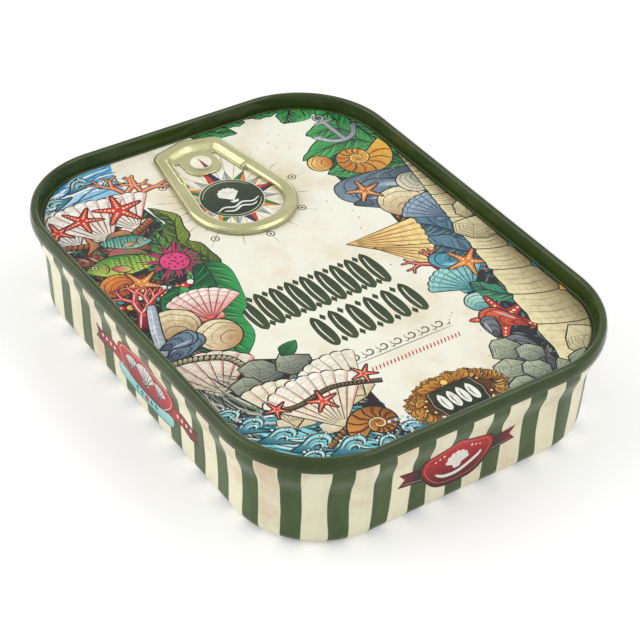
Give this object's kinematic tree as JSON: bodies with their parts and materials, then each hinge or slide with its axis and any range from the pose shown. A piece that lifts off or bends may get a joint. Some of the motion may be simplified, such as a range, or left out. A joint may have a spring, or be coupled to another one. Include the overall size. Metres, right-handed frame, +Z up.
{
  "type": "tin of mussels",
  "caption": "Closed flat rectangular food tin with rounded corners, a double-seamed easy-open end with a riveted ring pull, and printed striped sides.",
  "frame": {"origin": "centre of the base, on the plane that the tin stands on", "axes": "+X across the tin, +Y along it towards the nose of the ring pull, +Z up"},
  "size_m": [0.079, 0.104, 0.0225],
  "materials": {
    "body_print": "lacquered steel printed with cream and olive green stripes, satin gloss",
    "lid_print": "lacquered steel, olive green seam and a printed cream panel, gloss",
    "pull_metal": "champagne gold lacquered metal, satin"
  },
  "bodies": {
    "root": {"can_body": "body_print", "lid": "lid_print", "ring_pull": "pull_metal"}
  },
  "joints": []
}
